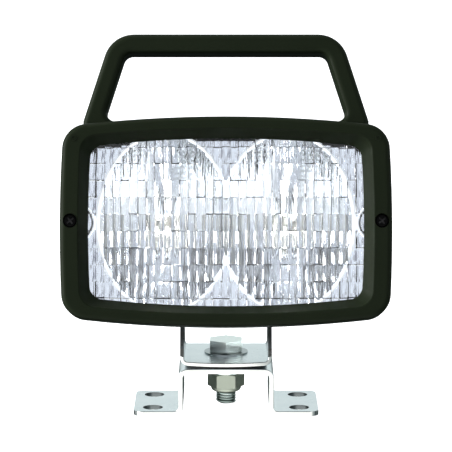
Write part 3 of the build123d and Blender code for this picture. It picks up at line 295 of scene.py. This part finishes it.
def moulded_plastic(name, dark, light, roughness, specular=0.35):
    """Black plastic with the fine spark-eroded grain of its mould."""
    grain = 0.5 * MM
    material, finish = finish_of(name)
    point = finish.place()
    cloud = finish.noise(point, 38.0, 3.0)
    fine = finish.noise(point, 1.0 / grain, 2.0, 0.6)
    colour = finish.mix(cloud * 0.5 + fine * 0.5, dark, light)
    sheen = finish.noise(point, 90.0, 2.0) * 0.16 + (roughness - 0.08)
    bump = finish.bump(fine, FINE_GRAIN)
    finish.surface(Base_Color=colour, Roughness=sheen, Normal=bump, Specular_IOR_Level=specular)
    return material


def plated_steel(name, cool, bright, roughness, edge_axis=None, edge_colour=None):
    """Plated steel: cool and slightly cloudy, with fine rolling marks.

    With an edge axis it is the folded sheet: its cut edges are paler, and its hole walls are painted
    dark as shade.
    """
    material, finish = finish_of(name)
    point = finish.place()
    cloud = finish.noise(point, 55.0, 4.0, 0.6)
    marks = finish.noise(finish.stretched(point, (60.0, 900.0, 60.0)), 1.0, 3.0, 0.6)
    spangle = finish.noise(point, 700.0, 2.0)
    share = (cloud * 1.6 - 0.3).clamped()
    colour = finish.mix(share, cool, bright)
    if edge_axis is not None:
        edge = abs(finish.along(finish.facing(), edge_axis)) > EDGE_SQUARENESS
        edge = edge * (abs(finish.along(point, edge_axis)) > EDGE_BEYOND)
        colour = finish.mix(edge * (0.85 - marks * 0.5), colour, edge_colour)
        across = abs(finish.along(point, (1.0, 0.0, 0.0)))
        upright = abs(finish.along(finish.facing(), (0.0, 0.0, 1.0))) < 0.5
        # Painted shade: the hole walls are coloured dark for the shadow inside the holes.
        hole_wall_shade = upright * (1.0 - edge) * (across > HOLE_FROM) * (across < HOLE_TO)
        colour = finish.mix(hole_wall_shade * 0.85, colour, HOLE_WALL_PAINTED_SHADE)
    gloss = marks * 0.12 + spangle * 0.06 + cloud * 0.1 + (roughness - 0.14)
    bump = finish.bump(marks * 0.6 + spangle * 0.4, 0.015 * MM, 0.6)
    finish.surface(Base_Color=colour, Metallic=1.0, Roughness=gloss, Normal=bump)
    return material


def mirror(name, colour, roughness):
    """Vacuum-metallised or plated surface with a faint ripple."""
    material, finish = finish_of(name)
    point = finish.place()
    wave = finish.noise(point, 160.0, 2.0)
    haze = finish.noise(point, 500.0, 2.0) * 0.05 + roughness
    tint = finish.mix(wave, colour, [c * 0.95 for c in colour])
    bump = finish.bump(wave, FINE_GRAIN)
    finish.surface(Base_Color=tint, Metallic=1.0, Roughness=haze, Normal=bump)
    return material


def clear_glass(name, tint, roughness, index=1.5):
    """Pressed or drawn glass with a hint of surface haze."""
    material, finish = finish_of(name)
    haze = finish.noise(finish.place(), 250.0, 2.0) * (roughness * 2) + roughness * 0.4
    finish.surface(Base_Color=tint, Roughness=haze, IOR=index, Transmission_Weight=1.0)
    return material


def matt_piece(name, colour, roughness, scale=900.0):
    """Rubber, fibre, nylon or wire sheath with a soft uneven surface."""
    material, finish = finish_of(name)
    point = finish.place()
    fine = finish.noise(point, scale, 3.0)
    cloud = finish.noise(point, 70.0, 2.0)
    tone = finish.mix(cloud, [c * 0.7 for c in colour], [c * 1.25 for c in colour])
    dull = fine * 0.14 + (roughness - 0.07)
    bump = finish.bump(fine, FINE_GRAIN)
    finish.surface(Base_Color=tone, Roughness=dull, Normal=bump, Specular_IOR_Level=0.35)
    return material


def screw_black(name):
    """Blackened screw heads, paler grey at the floor of the cross recess."""
    material, finish = finish_of(name)
    point = finish.place()
    depth = finish.along(point, HEAD_BACK) - FACE_CENTRE.dot(HEAD_BACK)
    height = finish.along(point, HEAD_UP) - FACE_CENTRE.dot(HEAD_UP)
    side = abs(finish.along(point, (1.0, 0.0, 0.0))) - SCREW_X
    reach = side * side + height * height
    in_cross = (reach < SCREW_CROSS_REACH**2) * (depth > SCREW_CROSS_DEPTH)
    mottle = finish.noise(point, 1500.0, 3.0)
    # The floor of the cross recess is coloured a paler grey.
    colour = finish.mix(in_cross * (mottle * 0.5 + 0.6).clamped(), SCREW_BLACK, SCREW_BRIGHT)
    dull = mottle * 0.2 + 0.35
    bump = finish.bump(mottle, FINE_GRAIN)
    finish.surface(Base_Color=colour, Roughness=dull, Normal=bump, Specular_IOR_Level=0.05)
    return material


def painted_highlight_rim(name, glow):
    """Polished metal rim that glows: a painted highlight for the light the whole bowl gathers on it."""
    material, finish = finish_of(name)
    wave = finish.noise(finish.place(), 220.0, 2.0)
    finish.surface(
        Base_Color=finish.mix(wave, (0.9, 0.93, 0.97), (1.0, 1.0, 1.0)),
        Metallic=1.0, Roughness=wave * 0.1 + 0.35,
        Emission_Color=(0.93, 0.97, 1.0), Emission_Strength=glow,
    )
    return material


def painted_glow_wire(name, colour, strength):
    """Tungsten coil made to glow: painted light standing in for the bright white in the capsules."""
    material, finish = finish_of(name)
    flicker = finish.noise(finish.place(), 2500.0, 1.0)
    tone = finish.mix(flicker, colour, (1.0, 0.97, 0.9))
    finish.surface(
        Base_Color=(0.3, 0.3, 0.3), Roughness=0.5, Emission_Color=tone, Emission_Strength=strength,
    )
    return material


MATERIALS = {
    "black_plastic": moulded_plastic(
        "moulded_black", (0.0086, 0.0133, 0.0058), (0.0148, 0.0208, 0.0104), 0.46, 0.06
    ),
    "black_steel": screw_black("blackened_screw"),
    "lens_glass": clear_glass("pressed_glass", (0.96, 0.98, 1.0), 0.012),
    "black_rubber": matt_piece("black_rubber", (0.018, 0.018, 0.018), 0.65),
    "reflector_metal": mirror("metallised_reflector", (0.93, 0.94, 0.96), 0.05),
    "bulb_glass": clear_glass("quartz_glass", (0.99, 0.99, 0.98), 0.005, 1.46),
    "bulb_metal": plated_steel("bulb_base_steel", (0.5, 0.5, 0.48), (0.66, 0.66, 0.63), 0.35),
    "spring_steel": plated_steel("clip_steel", (0.42, 0.42, 0.42), (0.6, 0.6, 0.6), 0.3),
    "connector_plastic": moulded_plastic(
        "connector_black", (0.02, 0.02, 0.023), (0.04, 0.04, 0.045), 0.35
    ),
    "wire_sheath": matt_piece("red_sheath", (0.35, 0.02, 0.02), 0.5),
    "zinc_plate": plated_steel(
        "zinc_sheet", (0.64, 0.7, 0.71), (0.82, 0.86, 0.86), 0.3, (0.0, 1.0, 0.0), (0.78, 0.755, 0.69)
    ),
    "zinc_fastener": plated_steel("zinc_fastener", (0.66, 0.73, 0.7), (0.84, 0.88, 0.84), 0.24),
    "black_fibre": matt_piece("black_fibre", (0.012, 0.011, 0.011), 0.7, 500.0),
    "white_nylon": matt_piece("white_nylon", (0.7, 0.7, 0.64), 0.45),
    "chrome_trim": mirror("chromed_trim", (0.78, 0.78, 0.78), 0.08),
}
# The filaments' glow is painted light.
FILAMENT = painted_glow_wire("filament", (1.0, 0.97, 0.92), 60.0)
# The rims' glow is a painted highlight; they are no lamps.
RIM_PAINTED_HIGHLIGHT = painted_highlight_rim("rim_painted_highlight", 0.75)
# Threads take a darker zinc colour than the other fasteners.
DARK_THREAD = plated_steel("darker_thread", (0.2, 0.25, 0.225), (0.34, 0.4, 0.37), 0.32)
TOP_WASHER = plated_steel("dark_washer", (0.3, 0.33, 0.33), (0.5, 0.55, 0.55), 0.32)
LOCK_NUT = plated_steel("cream_passivated_nut", (0.34, 0.37, 0.31), (0.42, 0.445, 0.365), 0.5)


def dress_cad_nodes():
    """Every CAD node that stays shown takes its slot's finish."""
    for node in frame["nodes"].values():
        for slot in node.material_slots:
            slot.material = MATERIALS[slot.material.name.split(".")[0]]
    frame["nodes"]["swivel_top_washer"].material_slots[0].material = TOP_WASHER
    frame["nodes"]["swivel_nut"].material_slots[0].material = LOCK_NUT


# ---- mesh helpers ------------------------------------------------------------
def piece_from(name, mesh, material=None):
    piece = bpy.data.objects.new(name, mesh)
    bpy.context.scene.collection.objects.link(piece)
    if material is not None:
        mesh.materials.clear()
        mesh.materials.append(material)
    return piece


def smooth(mesh, angle):
    mesh.polygons.foreach_set("use_smooth", [True] * len(mesh.polygons))
    mesh.set_sharp_from_angle(angle=angle)


class Growth:
    """A Geometry Nodes tree with named inputs, baked to a plain mesh."""

    def __init__(self, name, **sizes):
        self.tree = bpy.data.node_groups.new(name, "GeometryNodeTree")
        self.sizes = sizes
        for key, value in sizes.items():
            kind = "NodeSocketInt" if isinstance(value, int) else "NodeSocketFloat"
            self.tree.interface.new_socket(key, in_out="INPUT", socket_type=kind)
        self.tree.interface.new_socket("Geometry", in_out="OUTPUT", socket_type="NodeSocketGeometry")
        self.entry = self.tree.nodes.new("NodeGroupInput")

    def size(self, key):
        return Wire(self, self.entry.outputs[key])

    def node(self, kind, settings=None, *values, output=0, **named):
        node = self.tree.nodes.new(kind)
        for key, value in (settings or {}).items():
            setattr(node, key, value)
        for key, value in sockets_of(values, named):
            if isinstance(value, Wire):
                self.tree.links.new(value.socket, node.inputs[key])
            elif value is not None:
                node.inputs[key].default_value = value
        return Wire(self, node.outputs[output])

    def bake(self, name, geometry, material, matrix):
        """The tree's result as a piece, with its place in its mesh."""
        realized = self.node("GeometryNodeRealizeInstances", None, geometry)
        clad = self.node("GeometryNodeSetMaterial", None, realized, Material=material)
        exit_node = self.tree.nodes.new("NodeGroupOutput")
        self.tree.links.new(clad.socket, exit_node.inputs[0])
        host = bpy.data.objects.new(name + "_host", bpy.data.meshes.new(name + "_host"))
        bpy.context.scene.collection.objects.link(host)
        modifier = host.modifiers.new(name, "NODES")
        modifier.node_group = self.tree
        for item in self.tree.interface.items_tree:
            if item.in_out == "INPUT":
                modifier[item.identifier] = self.sizes[item.name]
        bpy.context.view_layer.update()
        evaluated = host.evaluated_get(bpy.context.evaluated_depsgraph_get())
        mesh = bpy.data.meshes.new_from_object(evaluated)
        mesh.name = name
        bpy.data.objects.remove(host)
        mesh.transform(matrix)
        return piece_from(name, mesh)


# ---- lens --------------------------------------------------------------------
def lens():
    """Slab of glass, plain in front, with rows of upright flutes pressed in its back."""
    grow = Growth(
        "lens_flutes",
        Width=LENS_WIDTH, Height=LENS_HEIGHT, Thickness=LENS_THICKNESS,
        Columns=FLUTES * FLUTE_STEPS + 1, Rows=ROWS * ROW_STEPS + 1,
        Flute_Pitch=FLUTE_PITCH, Flute_Relief=FLUTE_RELIEF, Row_Pitch=ROW_PITCH, Row_Relief=ROW_RELIEF,
        Rib_Relief=RIB_RELIEF, Row_Crowding=ROW_CROWDING, Groove_Relief=GROOVE_RELIEF,
        Half_Width=LENS_WIDTH / 2, Half_Height=LENS_HEIGHT / 2, Corner_Pull=CORNER_PULL,
        Side_Bulge=FACE_SIDE_BULGE * LENS_BULGE_SHARE, Top_Bulge=FACE_TOP_BULGE * LENS_BULGE_SHARE,
    )
    size = grow.size
    extent = grow.node("ShaderNodeCombineXYZ", None, size("Width"), size("Thickness"), size("Height"))
    slab = grow.node(
        "GeometryNodeMeshCube", None, Size=extent, Vertices_X=size("Columns"), Vertices_Y=2,
        Vertices_Z=size("Rows"),
    )
    place = grow.node("GeometryNodeInputPosition")
    x = grow.node("ShaderNodeSeparateXYZ", None, place)
    y = grow.node("ShaderNodeSeparateXYZ", None, place, output=1)
    z = grow.node("ShaderNodeSeparateXYZ", None, place, output=2)
    column = (x + size("Width") / 2.0) / size("Flute_Pitch")
    row = (z + size("Height") / 2.0) / size("Row_Pitch")
    in_flute = column.maths("FRACT", column) * 2.0 - 1.0
    even_row = row.maths("FRACT", row) * 2.0 - 1.0
    crowded = row.maths("SINE", even_row * pi) * size("Row_Crowding")
    in_row = even_row + crowded
    level = z + crowded * size("Row_Pitch") / 2.0
    flute_number = column.maths("FLOOR", column)
    row_number = row.maths("FLOOR", row)
    cell = grow.node("ShaderNodeCombineXYZ", None, flute_number, row_number, 0.0)
    vary = grow.node("ShaderNodeTexWhiteNoise", {"noise_dimensions": "3D"}, cell)
    other_cell = grow.node("ShaderNodeCombineXYZ", None, row_number, flute_number, GROOVE_SEED)
    broken = grow.node("ShaderNodeTexWhiteNoise", {"noise_dimensions": "3D"}, other_cell)
    flute_depth = size("Flute_Relief") * (vary * FLUTE_VARY + FLUTE_LEAST)
    outer_row = abs(row_number - (ROWS - 1) / 2) > ROWS / 2 - 1
    row_depth = size("Row_Relief") * (1.0 - outer_row * OUTER_ROW_LOSS)
    ribs = (in_flute * (2 * pi * RIBS_PER_FLUTE)).cosine() * size("Rib_Relief")
    groove = ((abs(in_row) - GROOVE_START) / (1.0 - GROOVE_START)).clamped()
    groove = groove * size("Groove_Relief") * (broken * GROOVE_VARY - GROOVE_LOSS).clamped()
    valley = in_flute * in_flute * flute_depth + in_row * in_row * row_depth + ribs + groove
    across = abs(x) / size("Half_Width")
    upward = abs(level) / size("Half_Height")
    corner = (across * upward) ** CORNER_POWER * size("Corner_Pull")
    pull_x = size("Side_Bulge") * upward**2.0 * across**RIM_POWER + corner
    pull_z = size("Top_Bulge") * across**2.0 * upward**RIM_POWER + corner
    inside_x = x - x.maths("SIGN", x) * pull_x
    inside_z = level - level.maths("SIGN", level) * pull_z
    on_back = y > 0.0
    moved = grow.node("ShaderNodeCombineXYZ", None, inside_x, y - on_back * valley, inside_z)
    shaped = grow.node("GeometryNodeSetPosition", None, slab, Position=moved)
    middle = HEAD @ Matrix.Translation((0, LENS_FRONT + LENS_THICKNESS / 2, 0))
    piece = grow.bake("lens_pane", shaped, MATERIALS["lens_glass"], middle)
    smooth(piece.data, LENS_SOFT_ANGLE)
    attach(piece, "lamp_head")
    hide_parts("lens_glass")


# ---- bright bead along the bowls' rims, a painted highlight ------------------
def bowl_rims():
    """Rounded metallised rim where the two bowls meet the flat of the reflector, glowing as a painted
    highlight.
    """
    crossing = sqrt(1 - (BOWL_CENTRE_X / BOWL_HALF_WIDTH) ** 2)
    start = asin(crossing)
    curve = bpy.data.curves.new("bowl_rims", "CURVE")
    curve.dimensions = "3D"
    curve.bevel_depth = BOWL_BEAD
    curve.bevel_resolution = 3
    spline = curve.splines.new("POLY")
    spline.points.add(2 * BOWL_STEPS - 1)
    spline.use_cyclic_u = True
    for side in (-1, 1):
        for step in range(BOWL_STEPS):
            angle = -pi + start + step / (BOWL_STEPS - 1) * 2 * (pi - start)
            x = side * (BOWL_CENTRE_X + BOWL_HALF_WIDTH * cos(angle))
            z = BOWL_HALF_HEIGHT * sin(angle) * side * -1
            z = max(-BOWL_CUT_HEIGHT, min(BOWL_CUT_HEIGHT, z))
            index = step if side < 0 else BOWL_STEPS + step
            spline.points[index].co = (x, REFLECTOR_FRONT - BEAD_AHEAD, z, 1)
    bead_from("bowl_rims", curve, RIM_PAINTED_HIGHLIGHT)


def bead_from(name, curve, material):
    """A round bead along a curve drawn on the head."""
    path = bpy.data.objects.new(name + "_path", curve)
    bpy.context.scene.collection.objects.link(path)
    evaluated = path.evaluated_get(bpy.context.evaluated_depsgraph_get())
    mesh = bpy.data.meshes.new_from_object(evaluated)
    bpy.data.objects.remove(path)
    mesh.transform(HEAD)
    smooth(mesh, BEAD_SOFT_ANGLE)
    piece = piece_from(name, mesh, material)
    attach(piece, "lamp_head")


def pad_rims(name, radius, bead, material):
    """Arcs that outline the raised pads beside the two frame screws: glowing ones are a painted
    highlight, black ones a painted shadow.
    """
    curve = bpy.data.curves.new(name, "CURVE")
    curve.dimensions = "3D"
    curve.bevel_depth = bead
    curve.bevel_resolution = 2
    curve.use_fill_caps = True
    spread = acos((SCREW_X - PAD_REACH) / radius)
    for side in (-1, 1):
        spline = curve.splines.new("POLY")
        spline.points.add(PAD_STEPS)
        for step, point in enumerate(spline.points):
            angle = spread * (2 * step / PAD_STEPS - 1)
            x = side * (SCREW_X - radius * cos(angle))
            point.co = (x, REFLECTOR_FRONT - PAD_AHEAD, radius * sin(angle), 1)
    bead_from(name, curve, material)


# ---- rolled threads on the bolts' free ends ----------------------------------
def thread(name, body, root_radius, crest_radius, pitch, matrix, length):
    """Ridges of a rolled thread: a wedge swept round a helix, from 0 along +Z."""
    grow = Growth(
        name, Turns=length / pitch, Length=length, Radius=(root_radius + crest_radius) / 2,
        Ridge=crest_radius - root_radius,
    )
    helix = grow.node(
        "GeometryNodeCurveSpiral", None, Resolution=THREAD_STEPS, Rotations=grow.size("Turns"),
        Start_Radius=grow.size("Radius"), End_Radius=grow.size("Radius"), Height=grow.size("Length"),
    )
    upright = grow.node("GeometryNodeSetCurveNormal", None, helix)
    wedge = grow.node(
        "GeometryNodeCurvePrimitiveCircle", None, Resolution=WEDGE_SIDES, Radius=grow.size("Ridge"),
    )
    ridge = grow.node("GeometryNodeCurveToMesh", None, upright, wedge, Fill_Caps=True)
    piece = grow.bake(name, ridge, DARK_THREAD, matrix)
    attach(piece, body)


def bolt_threads():
    """From each bolt's end to its nut: up for the swivel bolt, across for the pivot bolt."""
    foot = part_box("swivel_bolt")[0].z + THREAD_LEAD_IN
    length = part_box("swivel_nut")[0].z - foot
    upright = Matrix.Translation((0, 0, foot))
    thread("swivel_thread", "base", SWIVEL_ROOT, SWIVEL_CREST, SWIVEL_PITCH, upright, length)
    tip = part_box("pivot_bolt")[0].x + THREAD_LEAD_IN
    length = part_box("pivot_nut")[0].x - tip
    across = Matrix.Translation((tip, 0, PIVOT.z)) @ Matrix.Rotation(pi / 2, 4, "Y")
    thread("pivot_thread", "stirrup", PIVOT_ROOT, PIVOT_CREST, PIVOT_PITCH, across, length)


# ---- bulb filaments ----------------------------------------------------------
def filaments():
    """Coiled tungsten wire inside each capsule."""
    for side_name in ("left", "right"):
        low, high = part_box(f"bulb_glass_{side_name}")
        centre = (low + high) / 2
        centre -= HEAD_BACK * FILAMENT_AHEAD
        grow = Growth(
            f"filament_{side_name}", Turns=FILAMENT_TURNS, Length=FILAMENT_LENGTH,
            Radius=FILAMENT_RADIUS, Wire=FILAMENT_WIRE,
        )
        coil = grow.node(
            "GeometryNodeCurveSpiral", None, Resolution=COIL_STEPS, Rotations=grow.size("Turns"),
            Start_Radius=grow.size("Radius"), End_Radius=grow.size("Radius"), Height=grow.size("Length"),
        )
        wire = grow.node(
            "GeometryNodeCurvePrimitiveCircle", None, Resolution=WIRE_SIDES, Radius=grow.size("Wire"),
        )
        tube = grow.node("GeometryNodeCurveToMesh", None, coil, wire, Fill_Caps=True)
        lay = Matrix.Translation(centre) @ HEAD_TURN @ Matrix.Rotation(pi / 2, 4, "X")
        shift = Matrix.Translation((0, 0, -FILAMENT_LENGTH / 2))
        piece = grow.bake(f"filament_{side_name}", tube, FILAMENT, lay @ shift)
        smooth(piece.data, WIRE_SOFT_ANGLE)
        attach(piece, "lamp_head")


# ---- stage -------------------------------------------------------------------
CAMERA_PLACE = (0.0, -1.22234, 0.29923)
CAMERA_DOWN = radians(9.4)
CAMERA_LENS = 187.5
FLOOR_SIZE = 30.0
FLOOR_GLOW = 0.95

# The world's colours: in front of the lamp, behind it, and what the camera sees.
FRONT_WALL = (0.94, 0.98, 1.04)
DARK_PANEL = (0.2, 0.2, 0.25)
PANEL_STRETCH = (11.0, 11.0, 1.5)
FRONT_CEILING = (0.1, 0.095, 0.09)
OVERHEAD = (0.62, 0.63, 0.64)
FAR_FLOOR = (1.2, 1.22, 1.2)
NEAR_FLOOR = (2.3, 2.35, 2.35)
SHADED_FLOOR = (0.22, 0.28, 0.29)
FLOOR_ON_MATT = 0.08
BACK_WALL = (0.86, 0.95, 0.96)
BACK_CEILING = (0.35, 0.36, 0.37)
BACK_FLOOR = (0.05, 0.065, 0.06)
BACKDROP = (1.0, 1.0, 1.0)

# Between which parts of a direction each of the world's regions begins and is full.
FRONT_SPAN = (-0.15, 0.25)
HORIZON_SPAN = (-0.06, 0.03)
CEILING_SPAN = (0.5, 0.6)
OVERHEAD_SPAN = (0.66, 0.78)
NEAR_FLOOR_SPAN = (0.16, 0.3)
SHADED_SPAN = (0.35, 0.8)
PANEL_SPAN = (0.36, 0.5)

# Each softbox: its name, place, what it faces, width, height and power in watts.
KEY_LIGHT = ("key_light", (-1.6, -0.35, 0.55), (0.0, 0.0, 0.12), 0.7, 1.2, 44.0)
TOP_LIGHT = ("top_light", (-0.3, 0.2, 1.8), (0.0, 0.0, 0.1), 1.2, 1.0, 6.0)


def stage():
    """The floor, the world, two soft lights and the camera."""
    lay_floor()
    light_world()
    add_softbox(*KEY_LIGHT)
    add_softbox(*TOP_LIGHT)
    place_camera()
    bpy.context.scene.view_settings.view_transform = "Standard"


def lay_floor():
    """A pale glowing floor that only the camera sees."""
    material, finish = finish_of("pale_floor")
    tone = finish.mix(finish.noise(finish.place(), 3.0), (0.9, 0.9, 0.9), (0.93, 0.93, 0.93))
    finish.surface(
        Base_Color=tone, Roughness=0.9, Specular_IOR_Level=0.0,
        Emission_Color=(1.0, 1.0, 1.0), Emission_Strength=FLOOR_GLOW,
    )
    mesh = bpy.data.meshes.new("floor")
    form = bmesh.new()
    bmesh.ops.create_grid(form, x_segments=8, y_segments=8, size=FLOOR_SIZE / 2)
    form.to_mesh(mesh)
    form.free()
    floor = piece_from("floor", mesh, material)
    for sight in ("visible_diffuse", "visible_glossy", "visible_transmission"):
        setattr(floor, sight, False)


def light_world():
    """A room that differs by direction, so the metal and the glass have something to mirror."""
    world = bpy.data.worlds.new("studio")
    bpy.context.scene.world = world
    room = Finish(world)
    direction = room.node("ShaderNodeTexCoord", None, output=0)
    right = room.along(direction, (1.0, 0.0, 0.0))
    back = room.along(direction, (0.0, 1.0, 0.0))
    up = room.along(direction, (0.0, 0.0, 1.0))
    front = room.rise(0.0 - back, *FRONT_SPAN)
    above = room.rise(up, *HORIZON_SPAN)
    high = room.rise(up, *CEILING_SPAN)
    overhead = room.rise(up, *OVERHEAD_SPAN)
    near_floor = room.rise(0.0 - up, *NEAR_FLOOR_SPAN)
    shaded_side = room.rise(right, *SHADED_SPAN)
    panels = room.noise(room.stretched(direction, PANEL_STRETCH), 1.0, 1.0)
    wall = room.mix(room.rise(panels, *PANEL_SPAN), DARK_PANEL, FRONT_WALL)
    front_room = room.mix(overhead, room.mix(high, wall, FRONT_CEILING), OVERHEAD)
    lit_floor = room.mix(near_floor, FAR_FLOOR, NEAR_FLOOR)
    front_floor = room.mix(shaded_side, lit_floor, SHADED_FLOOR)
    ahead = room.mix(above, front_floor, front_room)
    behind = room.mix(above, BACK_FLOOR, room.mix(high, BACK_WALL, BACK_CEILING))
    on_matt = room.node("ShaderNodeLightPath", None, output="Is Diffuse Ray")
    strength = 1.0 - on_matt * (1.0 - above) * (1.0 - FLOOR_ON_MATT)
    around = room.node("ShaderNodeBackground", None, room.mix(front, behind, ahead), strength)
    backdrop = room.node("ShaderNodeBackground", None, BACKDROP, 1.0)
    seen = room.node("ShaderNodeLightPath", None, output="Is Camera Ray")
    shown = room.node("ShaderNodeMixShader", None, seen, around, backdrop)
    room.node("ShaderNodeOutputWorld", None, shown)


def place_camera():
    camera_data = bpy.data.cameras.new("camera")
    camera_data.lens = CAMERA_LENS
    camera_data.clip_end = 100.0
    camera = bpy.data.objects.new("camera", camera_data)
    camera.location = CAMERA_PLACE
    camera.rotation_euler = (pi / 2 - CAMERA_DOWN, 0.0, 0.0)
    bpy.context.scene.collection.objects.link(camera)
    bpy.context.scene.camera = camera


def add_softbox(name, place, target, width, height, power):
    light = bpy.data.lights.new(name, "AREA")
    light.shape = "RECTANGLE"
    light.size = width
    light.size_y = height
    light.energy = power
    lamp = bpy.data.objects.new(name, light)
    lamp.location = place
    aim = Vector(target) - Vector(place)
    lamp.rotation_euler = aim.to_track_quat("-Z", "Y").to_euler()
    lamp.visible_camera = False
    bpy.context.scene.collection.objects.link(lamp)


dress_cad_nodes()
lens()
bowl_rims()
# Glowing arcs on the pads' rims: painted highlight.
pad_rims("pad_rims", PAD_RIM_RADIUS, PAD_RIM_BEAD, RIM_PAINTED_HIGHLIGHT)
# Black arcs just inside them: painted shadow, not a rubber part.
PAD_PAINTED_SHADOW = MATERIALS["black_rubber"]
pad_rims("pad_shadow_lines", PAD_SHADOW_RADIUS, PAD_SHADOW_BEAD, PAD_PAINTED_SHADOW)
bolt_threads()
filaments()
stage()
